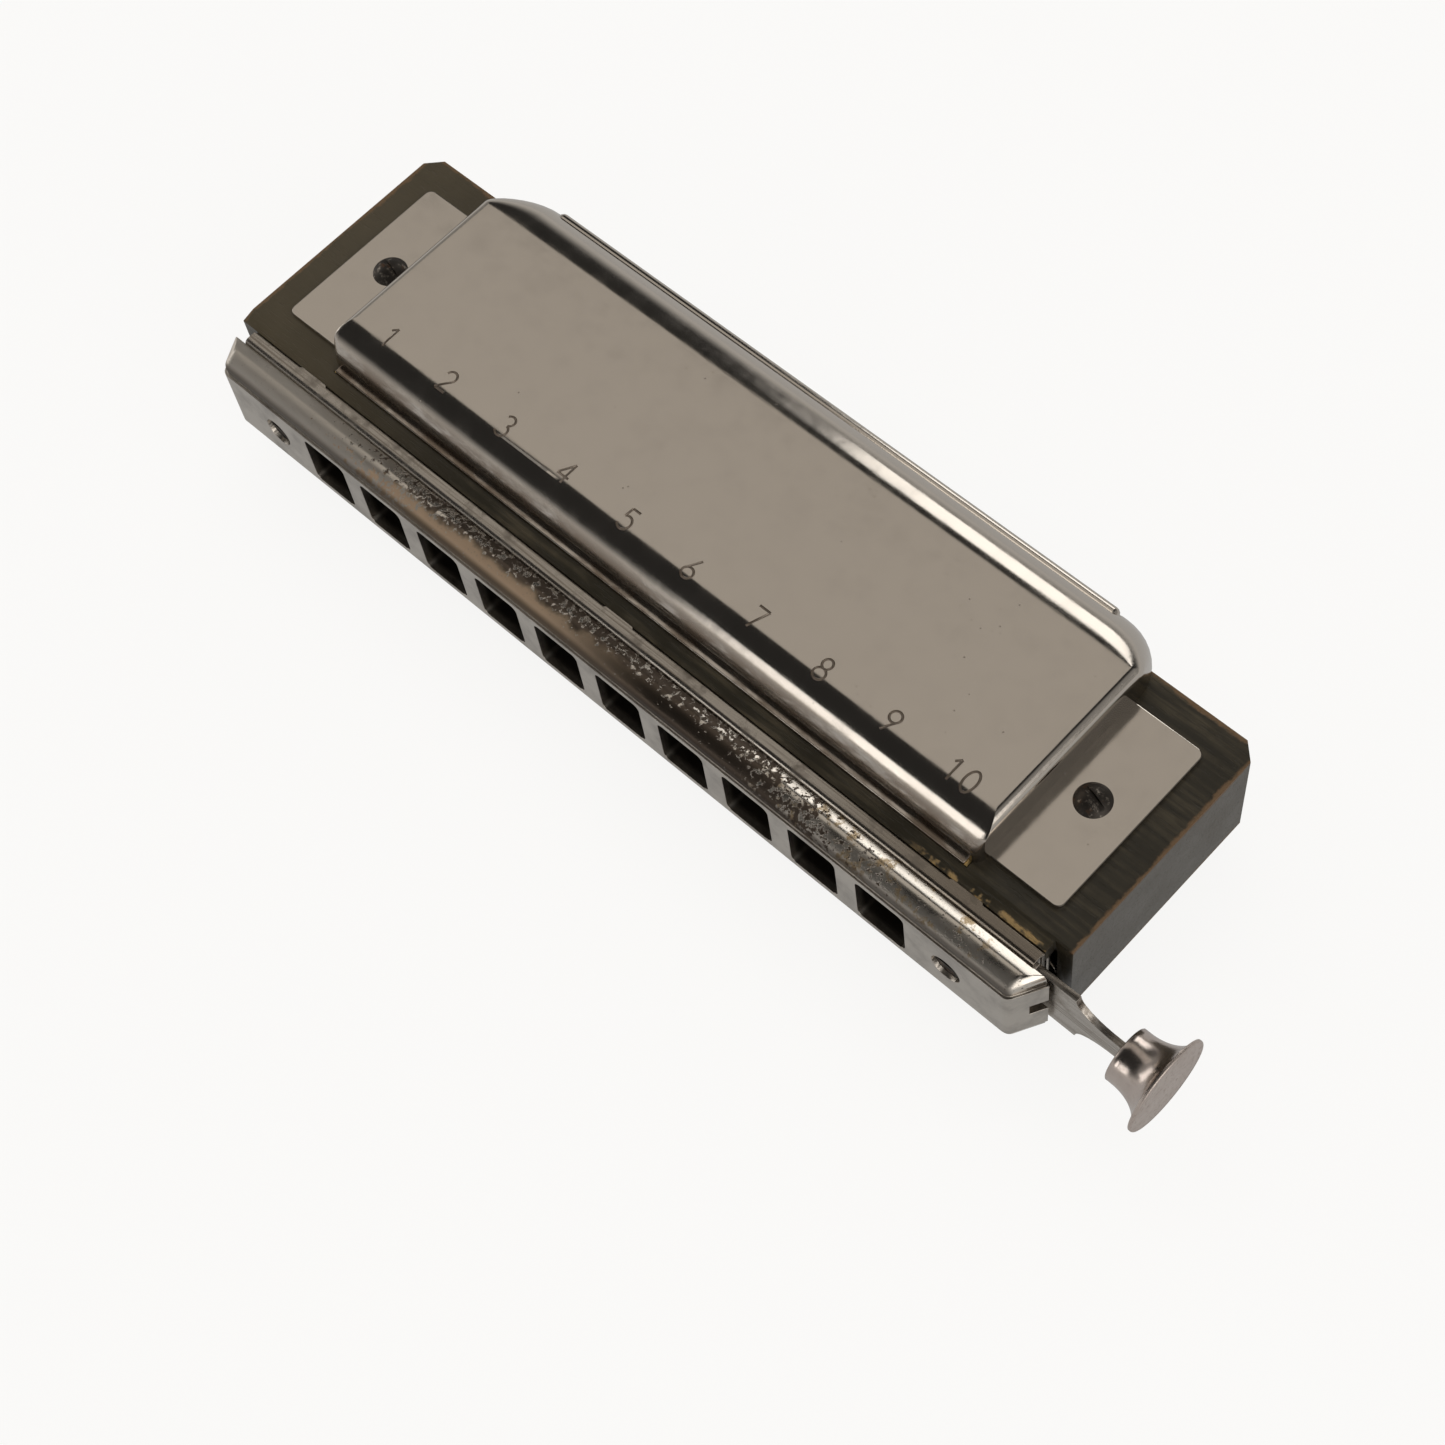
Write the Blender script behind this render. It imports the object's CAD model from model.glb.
"""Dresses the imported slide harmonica: plated covers and mouthpiece, wooden comb, brass reeds, stage."""

import math
from functools import partial

import bmesh
import bpy
from bpy.props import FloatProperty, FloatVectorProperty, IntProperty, PointerProperty
from mathutils import Matrix, Vector


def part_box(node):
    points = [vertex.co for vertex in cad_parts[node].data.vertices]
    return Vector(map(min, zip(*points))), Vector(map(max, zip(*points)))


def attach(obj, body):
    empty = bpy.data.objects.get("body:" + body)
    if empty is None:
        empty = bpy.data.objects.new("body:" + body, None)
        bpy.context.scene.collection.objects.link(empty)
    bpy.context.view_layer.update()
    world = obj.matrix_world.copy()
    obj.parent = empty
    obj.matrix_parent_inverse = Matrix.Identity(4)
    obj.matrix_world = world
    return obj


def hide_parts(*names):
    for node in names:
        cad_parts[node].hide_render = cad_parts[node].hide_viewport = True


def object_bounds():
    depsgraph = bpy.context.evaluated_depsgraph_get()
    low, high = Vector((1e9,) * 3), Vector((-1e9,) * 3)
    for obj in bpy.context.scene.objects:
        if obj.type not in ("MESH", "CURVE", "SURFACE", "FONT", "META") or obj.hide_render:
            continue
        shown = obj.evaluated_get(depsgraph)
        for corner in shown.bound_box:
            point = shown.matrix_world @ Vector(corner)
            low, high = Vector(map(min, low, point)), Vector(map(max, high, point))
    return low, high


bl_info = {
    "name": "Slide harmonica",
    "version": (1, 0, 0),
    "blender": (4, 5, 0),
    "location": "View3D > Sidebar > Harmonica",
    "description": "Dresses the slide harmonica's frame with plated, brass, steel and wooden finishes",
    "category": "Object",
}

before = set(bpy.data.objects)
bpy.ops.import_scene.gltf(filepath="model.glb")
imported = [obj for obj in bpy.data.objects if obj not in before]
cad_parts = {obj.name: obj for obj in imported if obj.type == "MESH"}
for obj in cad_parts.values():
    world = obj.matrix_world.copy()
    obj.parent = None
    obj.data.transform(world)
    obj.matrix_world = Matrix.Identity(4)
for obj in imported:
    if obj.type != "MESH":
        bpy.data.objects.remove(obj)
CAD_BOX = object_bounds()
MM = 0.001
TINY = 1e-7
MERGE_GAP = 1e-6
FLAT_TURN = math.radians(0.5)
DIGIT_W = 0.6
DIGIT_GAP = 0.22
PLATES = ("upper", "lower")
BREATHS = ("blow", "draw")
REED_BRASS = bpy.data.materials["reed_brass"]
HOLE_COUNT = sum(name.startswith("upper_blow_reed_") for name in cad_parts)

COMB_LOW, COMB_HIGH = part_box("comb")
COVER_LOW, COVER_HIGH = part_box("upper_cover")
MOUTH_LOW, MOUTH_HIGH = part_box("mouthpiece")
BUTTON_LOW, BUTTON_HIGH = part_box("slide_button")
MIDDLE_Z = (COMB_LOW.z + COMB_HIGH.z) / 2


def size(name, text, millimetres):
    """A length property whose default is given in millimetres."""
    return FloatProperty(name=name, description=text, default=millimetres * MM, unit="LENGTH", precision=5)


def angle(name, text, degrees):
    """An angle property that is given in degrees."""
    return FloatProperty(name=name, description=text, default=math.radians(degrees), subtype="ANGLE")


def tint(name, text, colour):
    """A linear colour property."""
    return FloatVectorProperty(name=name, description=text, default=colour, size=3, subtype="COLOR")


class CoverSettings(bpy.types.PropertyGroup):
    """Sizes and colours of the two covers."""

    sheet: size("Sheet", "Thickness of the cover sheet", 0.6)
    nose_r: size("Front bend", "Radius of the bend along the front", 4.4)
    tail_r: size("Rear bend", "Radius of the bend along the back", 6.7)
    end_r: size("End bend", "Radius of the bend at each end", 1.3)
    front_corner: size("Front corners", "Radius of the front corners in plan", 1.2)
    rear_corner: size("Rear corners", "Radius of the rear corners in plan", 6.4)
    foot_w: size("Foot", "Width of the flat foot along the front edge", 0.8)
    tab_l: size("Tab length", "Length of the screw tab at each end", 9.3)
    tab_w: size("Tab width", "Depth of the screw tab from front to back", 23.0)
    tab_r: size("Tab corners", "Corner radius of the screw tab", 0.9)
    tab_back: size("Tab setback", "Distance of the tab's back edge in front of the rear bend", 0.5)
    vent_l: size("Vent length", "Length of the open vent along the back", 83.0)
    vent_h: size("Vent height", "Height of the open vent along the back", 2.4)
    hem_r: size("Hem", "Radius of the rolled hem above the vent", 0.8)
    edge: size("Edge break", "Rounding of the cut sheet edges", 0.12)
    number_h: size("Number height", "Height of the stamped hole numbers", 2.7)
    number_y: size("Number place", "Distance of the numbers' middle in front of the origin", 10.0)
    stroke_r: size("Number stroke", "Half width of a stamped stroke", 0.16)
    nickel: tint("Nickel", "Colour of the polished plating", (0.64, 0.59, 0.53))
    tarnish: tint("Tarnish", "Colour of the stained plating", (0.30, 0.24, 0.19))


class CombSettings(bpy.types.PropertyGroup):
    """Sizes and colours of the wooden comb."""

    edge: size("Edge wear", "Rounding of the comb's edges", 0.25)
    dark: tint("Lacquer", "Colour of the dark lacquered wood", (0.017, 0.014, 0.008))
    pale: tint("Grain", "Colour of the lighter grain", (0.070, 0.055, 0.031))
    bare: tint("Bare wood", "Colour of the wood where the lacquer has worn off", (0.15, 0.085, 0.038))
    chip: tint("Chipped edge", "Colour of the splintered front edge", (0.26, 0.17, 0.065))


class MouthpieceSettings(bpy.types.PropertyGroup):
    """Sizes and colours of the mouthpiece."""

    edge: size("Edge break", "Rounding of the mouthpiece's edges", 0.14)
    face_h: size("Face height", "Height of the pierced front face", 9.1)
    front_inset: size("Front inset", "How much shorter the front face is than the back at each end", 2.2)
    corner: size("Front corners", "Radius of the upright front corners", 1.2)
    ledge: size("Ledge", "Width of the ledge at the foot of the lip", 0.3)
    foot_h: size("Lip foot", "Height at which the lip's dome would meet its foot", 1.2)
    lip_r: size("Lip dome", "Radius of the lip's dome from front to back", 3.5)
    crest_d: size("Crest", "Distance of the dome's crest behind the lip's foot", 2.2)
    fall_r: size("End fall", "Radius of the dome's fall towards each end", 2.4)
    fall_d: size("End crest", "Distance of the middle of that fall from the foot at the end", 1.9)
    toe_r: size("Toe", "Rounding between the lip's foot and its dome", 0.9)
    crest_r: size("Crest rounding", "Rounding of the lip's crest", 0.3)
    back_fall: angle("Back fall", "Slope of the lip behind its crest", 17.0)
    hole_w: size("Hole width", "Width of a mouth hole", 6.6)
    hole_h: size("Hole height", "Height of a mouth hole", 7.6)
    hole_r: size("Hole corners", "Corner radius of a mouth hole", 0.8)
    slot_l: size("Slot length", "Length of the slot in each end, from the back", 1.8)
    slot_h: size("Slot height", "Height and depth of the slot in each end", 2.0)
    head_gap: size("Head gap", "Gap round the head of a sunk screw", 0.1)
    head_d: size("Head bore", "Depth of the bore for a screw head", 1.9)
    shank_d: size("Shank bore", "Depth of the bore for a screw shank", 9.0)
    nickel: tint("Nickel", "Colour of the plating that is left", (0.74, 0.69, 0.62))
    brass: tint("Bare metal", "Colour of the metal under the worn plating", (0.74, 0.57, 0.41))
    rust: tint("Rust", "Colour of the spots on the right", (0.42, 0.29, 0.13))
    pitted: tint("Pitted metal", "Colour of the eaten metal on the right", (0.15, 0.12, 0.095))
    stain: tint("Stain", "Colour of the pits and stains", (0.06, 0.045, 0.035))


class WorksSettings(bpy.types.PropertyGroup):
    """Sizes and colours of the slide works, the button and the fasteners."""

    edge: size("Sheet edge", "Rounding of the thin sheet edges", 0.06)
    neck_r: size("Button neck", "Radius of the button's neck", 3.2)
    neck_l: size("Neck length", "Length of the button's straight neck", 0.8)
    rim_t: size("Button rim", "Thickness of the button's rim", 0.4)
    rivet_inset: size("Rivet inset", "Distance of a rivet from the end of its reed's foot", 1.1)
    rivet_r: size("Rivet head", "Radius of a rivet head", 0.8)
    turns: IntProperty(name="Turning steps", description="Steps round a turned piece", default=96, min=24)
    steel: tint("Steel", "Colour of the slide's steel", (0.52, 0.48, 0.43))
    steel_stain: tint("Steel stain", "Colour of the stains on the steel", (0.16, 0.12, 0.08))
    grime: tint("Grime", "Colour of the steel inside the breath ways", (0.05, 0.04, 0.03))
    nail: tint("Nails", "Colour of the nails", (0.5, 0.48, 0.45))
    button: tint("Button", "Colour of the button's plating", (0.66, 0.58, 0.53))
    button_worn: tint("Worn button", "Colour of the button where it is rubbed", (0.30, 0.23, 0.19))
    black: tint("Blackened steel", "Colour of the screws", (0.055, 0.048, 0.042))
    screw_rust: tint("Screw rust", "Colour of the rust on the screws", (0.16, 0.075, 0.035))
    screw_bright: tint("Bright steel", "Colour of the screws where they are rubbed", (0.36, 0.32, 0.27))


class StageSettings(bpy.types.PropertyGroup):
    """Camera, floor and light."""

    lens: FloatProperty(name="Lens", description="Focal length", default=66.49, subtype="DISTANCE_CAMERA")
    eye: FloatVectorProperty(
        name="Eye",
        description="Place of the camera",
        default=(0.1241, -0.0997, 0.2641),
        subtype="TRANSLATION",
    )
    azimuth: angle("Azimuth", "Turn of the camera", 53.05)
    elevation: angle("Elevation", "Height of the view", 61.39)
    roll: angle("Roll", "Roll of the camera", -11.02)
    floor: tint("Floor", "Colour of the floor", (0.86, 0.85, 0.83))
    glow: tint("Glow", "Colour of the floor as the camera and the metal see it", (1.0, 0.995, 0.985))
    room: tint("Room", "Colour of the light from the room", (1.0, 0.97, 0.93))


class HarmonicaSettings(bpy.types.PropertyGroup):
    """Every setting of the harmonica."""

    covers: PointerProperty(type=CoverSettings)
    comb: PointerProperty(type=CombSettings)
    mouthpiece: PointerProperty(type=MouthpieceSettings)
    works: PointerProperty(type=WorksSettings)
    stage: PointerProperty(type=StageSettings)


# Shader trees


class Socket:
    """An output socket. Arithmetic on it adds Math nodes, so that a mask reads as a formula."""

    def __init__(self, tree, output):
        self.tree = tree
        self.output = output

    def math(self, operation, *terms):
        return self.tree.add("ShaderNodeMath", {"operation": operation}, dict(enumerate(terms)))

    def __add__(self, other):
        return self.math("ADD", self, other)

    def __sub__(self, other):
        return self.math("SUBTRACT", self, other)

    def __rsub__(self, other):
        return self.math("SUBTRACT", other, self)

    def __mul__(self, other):
        return self.math("MULTIPLY", self, other)

    def __abs__(self):
        return self.math("ABSOLUTE", self)

    __radd__ = __add__
    __rmul__ = __mul__

    def least(self, other):
        return self.math("MINIMUM", self, other)

    def most(self, other):
        return self.math("MAXIMUM", self, other)

    def root(self):
        return self.math("SQRT", self)

    def step(self, low, high):
        """0 below low, 1 above high and smooth between; low may be the larger."""
        ends = {"From Min": low, "From Max": high, "Value": self}
        return self.tree.add("ShaderNodeMapRange", {"interpolation_type": "SMOOTHSTEP"}, ends)


class Tree:
    """A node tree that grows by one method."""

    def __init__(self, tree):
        self.tree = tree
        self.tree.nodes.clear()

    def add(self, kind, settings=None, sockets=None, out=0):
        """Adds a node with its settings and the values or links of its sockets, and gives one output."""
        node = self.tree.nodes.new(kind)
        for key, value in (settings or {}).items():
            setattr(node, key, value)
        for key, value in (sockets or {}).items():
            if isinstance(value, Socket):
                self.tree.links.new(value.output, node.inputs[key])
            else:
                node.inputs[key].default_value = value
        return Socket(self, node.outputs[out] if len(node.outputs) else None)


class Finish(Tree):
    """A material on Object coordinates, with x, y and z in millimetres."""

    def __init__(self, name):
        self.material = bpy.data.materials.new(name)
        self.material.use_nodes = True
        super().__init__(self.material.node_tree)
        self.place = self.add("ShaderNodeTexCoord", out=3)
        split = [self.add("ShaderNodeSeparateXYZ", None, {0: self.place}, axis) for axis in range(3)]
        self.x, self.y, self.z = (axis * (1 / MM) for axis in split)

    def off_middle(self):
        """Height above or below the middle plane, in millimetres."""
        return abs(self.z - MIDDLE_Z / MM)

    def scaled(self, scale, shift):
        """The place on the piece, scaled and then moved."""
        sockets = {"Vector": self.place, "Scale": scale, "Location": shift}
        return self.add("ShaderNodeMapping", None, sockets)

    def noise(self, grain, detail=3, rough=0.55, stretch=(1, 1, 1), shift=(0, 0, 0)):
        """Noise with a grain of so many millimetres, drawn out along an axis by stretch."""
        spot = self.scaled(tuple(1 / (grain * MM * s) for s in stretch), shift)
        sockets = {"Vector": spot, "Scale": 1, "Detail": detail, "Roughness": rough}
        return self.add("ShaderNodeTexNoise", None, sockets)

    def cells(self, grain, shift=(0, 0, 0)):
        """Distance to the nearest of scattered points, so many millimetres apart."""
        spot = self.scaled((1 / (grain * MM),) * 3, shift)
        return self.add("ShaderNodeTexVoronoi", None, {"Vector": spot, "Scale": 1})

    def mix(self, mask, low, high):
        """Colour low where the mask is 0 and high where it is 1."""
        return self.add("ShaderNodeMix", {"data_type": "RGBA"}, {0: mask, 6: rgba(low), 7: rgba(high)}, 2)

    def bump(self, height, depth, under=None):
        """Normal of a height from 0 to 1 that stands for so many millimetres."""
        sockets = {"Height": height, "Distance": depth * MM, "Strength": 1.0}
        if under:
            sockets["Normal"] = under
        return self.add("ShaderNodeBump", None, sockets)

    def done(self, **sockets):
        """Ends the tree in a Principled shader; keys are socket names with _ for spaces."""
        named = {key.replace("_", " "): value for key, value in sockets.items()}
        shader = self.add("ShaderNodeBsdfPrincipled", None, named)
        self.add("ShaderNodeOutputMaterial", None, {"Surface": shader})
        return self.material


def rgba(colour):
    """A colour with its alpha; a socket stays as it is."""
    return colour if isinstance(colour, Socket) else (*colour, 1.0)


def cover_finish(s):
    """Polished nickel: soft clouds, fine scuffs, few specks, grime in the numbers and low on the front."""
    f = Finish("cover_nickel")
    front = COVER_LOW.y / MM
    bend = s.nose_r / MM
    clouds = f.noise(14, 4, 0.55)
    scuffs = f.noise(0.22, 2, 0.7, stretch=(16, 1, 1)) * f.noise(3, 2).step(0.42, 0.7)
    wiped = f.noise(4, 2, shift=(9, 2, 3)).step(0.46, 0.75)
    wipes = f.noise(0.25, 2, 0.7, stretch=(1, 14, 1), shift=(4, 1, 7)) * wiped
    sparse = f.noise(7, 3, 0.6, shift=(3, 3, 3)).step(0.54, 0.68)
    specks = f.cells(1.1).step(0.13, 0.05) * sparse
    nose = f.y.step(front + 2.4, front + 1.0)
    low = nose * f.noise(2.4, 5, 0.65, stretch=(3, 1, 1)).step(0.34, 0.6)
    fall = (front + s.foot_w / MM + bend - f.y).most(0)
    skin = (bend * bend - fall * fall).most(0).root() + ((COVER_HIGH.z - MIDDLE_Z) / MM - bend)
    sunk = (skin - f.off_middle()).step(0.02, 0.07)
    numbers = fall.step(bend * 0.7, bend * 0.6) * f.y.step(-4, -5) * abs(f.x).step(47, 46)
    stamped = sunk * numbers
    stain = low.most(specks * 0.5).most(clouds.step(0.5, 0.8) * 0.03).most(stamped * 0.75)
    worn = clouds * 0.03 + scuffs * 0.07 + wipes * 0.06
    rough = worn + specks * 0.2 + low * 0.14 + stamped * 0.3 + 0.11
    swell = f.bump(f.noise(11, 2, 0.4), 0.02)
    fine = f.bump(scuffs + wipes - specks * 0.6, 0.005, swell)
    colour = f.mix(stain, s.nickel, s.tarnish)
    return f.done(Base_Color=colour, Metallic=1.0, Roughness=rough, Normal=fine)


def mouthpiece_finish(s):
    """Worn nickel: satin on the left, eaten down to the brown metal in the middle, pitted on the right."""
    f = Finish("mouthpiece_nickel")
    depth = f.y - MOUTH_LOW.y / MM
    crown = (f.off_middle() - s.face_h / MM / 2).step(0.1, 0.5)
    face = 1 - crown
    ragged = f.noise(2.6, 3, 0.6) - 0.5
    left = f.x.step(-22, -46)
    middle = (f.x + ragged * 16).step(-54, -16) * (f.x + ragged * 18).step(54, 14)
    right = f.x.step(14, 34)
    front = (depth + ragged * 2.0).step(2.4, 1.5)
    crust = f.noise(0.6, 4, 0.65, shift=(1, 5, 2))
    eaten = (middle * (front * 0.11 + 0.30) + 0.26 - crust).step(-0.03, 0.03)
    scattered = f.noise(1.6, 3, shift=(5, 1, 2)).step(0.44, 0.60)
    freckles = f.cells(0.42).step(0.34, 0.16) * scattered * (front * right * 0.8 + 0.12)
    brown = f.x.step(12, -9) * front
    rusting = f.x.step(18, 30) * f.x.step(60, 52) * crown
    rust = f.noise(2.4, 4, 0.7, shift=(8, 3, 1)).step(0.52, 0.62) * rusting
    smudge = (f.noise(4.5, 4, 0.65, shift=(2, 9, 4)).step(0.38, 0.72) * 0.30 + 0.24) * face
    bore = depth.step(0.2, 1.4) * abs(f.x).step(52, 51) * face
    toe = depth.step(1.0, 0.35)
    under = f.mix(brown, s.pitted, s.brass)
    plate = f.mix(rust * 0.75, s.nickel, s.rust)
    grime = ((toe * 0.8).most(freckles) * crown).most(bore * 0.85).most(smudge)
    colour = f.mix(grime, f.mix(eaten * crown, plate, under), s.stain)
    dull = eaten.most(freckles) * crown
    matt = ((left * 0.26).most(brown * 0.30).most(front * right * 0.20) * crown).most(face * 0.14)
    rough = ragged * 0.10 + dull * 0.16 + matt + toe * crown * 0.15 + rust * 0.1 + 0.17
    swell = f.bump(f.noise(6, 2, 0.4), 0.03)
    pits = f.bump(1 - dull * (1 - brown), 0.03, swell)
    return f.done(Base_Color=colour, Metallic=1.0, Roughness=rough, Normal=pits)


def comb_finish(s):
    """Dark lacquered hardwood, rubbed to bare wood in lines along its edges and splintered in front."""
    f = Finish("comb_wood")
    grain = f.noise(0.7, 5, 0.65, stretch=(18, 1, 1))
    pores = f.noise(0.2, 2, 0.6, stretch=(12, 1, 1)).step(0.58, 0.72)
    dirt = f.noise(6, 4, 0.6)
    end = COMB_HIGH.x / MM - abs(f.x)
    rim = (COMB_HIGH.z - MIDDLE_Z) / MM - f.off_middle()
    back = COMB_HIGH.y / MM - f.y
    front = f.y - COMB_LOW.y / MM
    faded = (f.x.step(-20, -60) * (0.55 + dirt * 0.6)).most(end.step(0.3, 0.1) * 0.45)
    wood = f.mix((grain.step(0.38, 0.72) * dirt.step(0.25, 0.75)).most(faded), s.dark, s.pale)
    nearest = end.most(rim).least(back.most(rim)).least(end.most(back))
    ragged = f.noise(0.9, 4, 0.7) * 0.9 + f.noise(8, 2) * 0.9 - 0.62
    rubbed = (nearest - ragged).step(0.30, -0.10)
    patches = f.noise(2.6, 3, 0.6, shift=(6, 0, 2)).step(0.46, 0.54) * f.x.step(40, 46)
    splinters = f.noise(0.5, 4, 0.7, stretch=(3, 1, 1)) * 1.1
    chipped = (front.most(rim) - splinters).step(0.12, -0.10) * patches
    colour = f.mix(chipped, f.mix(rubbed * 0.8, wood, s.bare), s.chip)
    rough = dirt * 0.22 + pores * 0.15 + rubbed * 0.2 + chipped * 0.2 + 0.24
    relief = f.bump(grain * 0.6 - pores * 0.5 - rubbed * 0.5 - chipped * 1.5, 0.05)
    return f.done(Base_Color=colour, Roughness=rough, Normal=relief, Specular_IOR_Level=0.5)


def steel_finish(name, colour, s):
    """Rolled sheet or wire with drawn lines along it, a little staining and grime in the breath ways."""
    f = Finish(name)
    lines = f.noise(0.22, 2, 0.6, stretch=(80, 1, 1))
    stained = f.noise(2.6, 4, 0.65).step(0.50, 0.72)
    rise = f.off_middle()
    inside = rise.step(6.2, 5.7) * abs(f.x).step(50, 48)
    bare = f.x.step(24, 50) * rise.step(5.7, 6.2)
    worn = (stained * 0.45).most(lines.step(0.48, 0.62) * 0.5).most(bare * 0.6)
    tone = f.mix(inside * 0.85, f.mix(worn, colour, s.steel_stain), s.grime)
    rough = lines * 0.12 + stained * 0.18 + 0.20
    return f.done(Base_Color=tone, Metallic=1.0, Roughness=rough, Normal=f.bump(lines, 0.014))


def button_finish(s):
    """Nickel on the button, rubbed dull by the hand on its pressing face."""
    f = Finish("button_nickel")
    face = f.x.step(BUTTON_HIGH.x / MM - 0.5, BUTTON_HIGH.x / MM - 0.15)
    nicks = f.noise(0.5, 4, 0.75).step(0.5, 0.68)
    dull = f.noise(2.5, 3).step(0.35, 0.7)
    tone = f.mix(nicks * (face * 0.35 + 0.10) + dull * 0.12, s.button, s.button_worn)
    rough = face * 0.22 + nicks * (face * 0.10 + 0.03) + dull * 0.08 + 0.17
    dents = f.bump(nicks * (face * -0.8 - 0.2), 0.010)
    return f.done(Base_Color=tone, Metallic=1.0, Roughness=rough, Normal=dents)


def screw_finish(s):
    """Blackened steel, bright where a driver has rubbed it."""
    f = Finish("dark_screws")
    shaded = f.y.step(MOUTH_HIGH.y / MM, MOUTH_HIGH.y / MM - 1)
    bright = f.noise(0.7, 4, 0.7).step(0.54, 0.68) * (1 - shaded * 0.9)
    rust = f.noise(1.2, 3, shift=(7, 7, 1)).step(0.55, 0.75)
    tone = f.mix(bright * 0.6, f.mix(rust * 0.6, s.black, s.screw_rust), s.screw_bright)
    rough = 0.48 - bright * 0.2
    return f.done(Base_Color=tone, Metallic=0.9, Roughness=rough, Normal=f.bump(bright, 0.012))


# Meshes


def link(name, data):
    """A new object in the scene."""
    piece = bpy.data.objects.new(name, data)
    bpy.context.scene.collection.objects.link(piece)
    return piece


def mesh_from(name, bm):
    """A mesh of what the bmesh holds, which is freed."""
    mesh = bpy.data.meshes.new(name)
    bm.to_mesh(mesh)
    bm.free()
    return mesh


def mesh_of(name, build):
    """A mesh that build fills in, with its normals pointing out."""
    bm = bmesh.new()
    build(bm)
    bmesh.ops.recalc_face_normals(bm, faces=bm.faces)
    return mesh_from(name, bm)


def solid(name, build):
    """A new object whose mesh build fills in."""
    return link(name, mesh_of(name, build))


def settle(piece):
    """Turns the evaluated piece into a plain mesh without modifiers."""
    bpy.context.view_layer.update()
    evaluated = piece.evaluated_get(bpy.context.evaluated_depsgraph_get())
    mesh = bpy.data.meshes.new_from_object(evaluated)
    piece.modifiers.clear()
    piece.data = mesh
    return piece


def cut(piece, tools, operation="DIFFERENCE"):
    """Cuts the tools out of the piece, or adds them to it."""
    for tool in tools:
        knife = piece.modifiers.new("cut", "BOOLEAN")
        knife.operation = operation
        knife.solver = "EXACT"
        knife.use_hole_tolerant = True
        knife.object = tool
        settle(piece)
        bpy.data.objects.remove(tool)
    return piece


def smooth(piece, degrees):
    """Smooth shading that keeps edges over so many degrees sharp."""
    piece.data.shade_smooth()
    piece.data.set_sharp_from_angle(angle=math.radians(degrees))
    return piece


def soften(piece, width, segments, degrees=32):
    """Rounds the sharp edges and keeps the flat faces flat."""
    smooth(piece, degrees)
    bevel = piece.modifiers.new("round", "BEVEL")
    bevel.width = width
    bevel.segments = segments
    bevel.limit_method = "ANGLE"
    bevel.angle_limit = math.radians(degrees)
    bevel.harden_normals = True
    return settle(piece)


def flatten(piece, degrees=30):
    """Smooth shading in which the large faces keep their own normals."""
    smooth(piece, degrees)
    weigh = piece.modifiers.new("weigh", "WEIGHTED_NORMAL")
    weigh.keep_sharp = True
    return settle(piece)


def copy_of(node, name):
    """A merged copy of a CAD node, with its flat faces whole."""
    bm = bmesh.new()
    bm.from_mesh(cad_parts[node].data)
    bmesh.ops.remove_doubles(bm, verts=bm.verts, dist=MERGE_GAP)
    bmesh.ops.dissolve_limit(bm, angle_limit=FLAT_TURN, verts=bm.verts, edges=bm.edges)
    return link(name, mesh_from(name, bm))


def coat(piece, material):
    """Gives a piece its material and the record's slot for it."""
    piece.data.materials.clear()
    piece.data.materials.append(material)


def finish_piece(piece, material, body, node):
    """Gives a piece its body, its material and the CAD node that it stands for."""
    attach(piece, body)
    coat(piece, material)
    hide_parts(node)


def arc(centre, radius, start, end, steps):
    """Points of an arc or, with two radii, of an ellipse's arc; angles in degrees."""
    rx, ry = radius if isinstance(radius, tuple) else (radius, radius)
    turns = (math.radians(start + (end - start) * k / steps) for k in range(steps + 1))
    return [(centre[0] + rx * math.cos(a), centre[1] + ry * math.sin(a)) for a in turns]


def rectangle(x0, y0, x1, y1):
    """Corners of a rectangle, from its front left one round."""
    return [(x0, y0), (x1, y0), (x1, y1), (x0, y1)]


def bridge(bm, loops):
    """Faces from each closed loop of points to the next."""
    for low, high in zip(loops, loops[1:]):
        for k in range(len(low)):
            bm.faces.new((low[k - 1], low[k], high[k], high[k - 1]))


def prism(bm, outline, lift, thickness):
    """A closed prism; lift turns an outline point and a height into a place."""
    low, high = ([bm.verts.new(lift(p, h)) for p in outline] for h in (0.0, thickness))
    bm.faces.new(low)
    bm.faces.new(high)
    bridge(bm, [low, high])


def lathe(bm, profile, steps, place):
    """A turned solid from (radius, height) points; place turns a local point into the frame."""
    rings = []
    for radius, height in profile:
        count = steps if radius > TINY else 1
        turns = (math.tau * k / count for k in range(count))
        spots = [Vector((radius * math.cos(a), radius * math.sin(a), height)) for a in turns]
        rings.append([bm.verts.new(place @ spot) for spot in spots])
    for pair in zip(rings, rings[1:]):
        for k in range(steps):
            (a, b), (d, c) = ((ring[(k - 1) % len(ring)], ring[k % len(ring)]) for ring in pair)
            bm.faces.new(dict.fromkeys((a, b, c, d)))


# Covers


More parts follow.
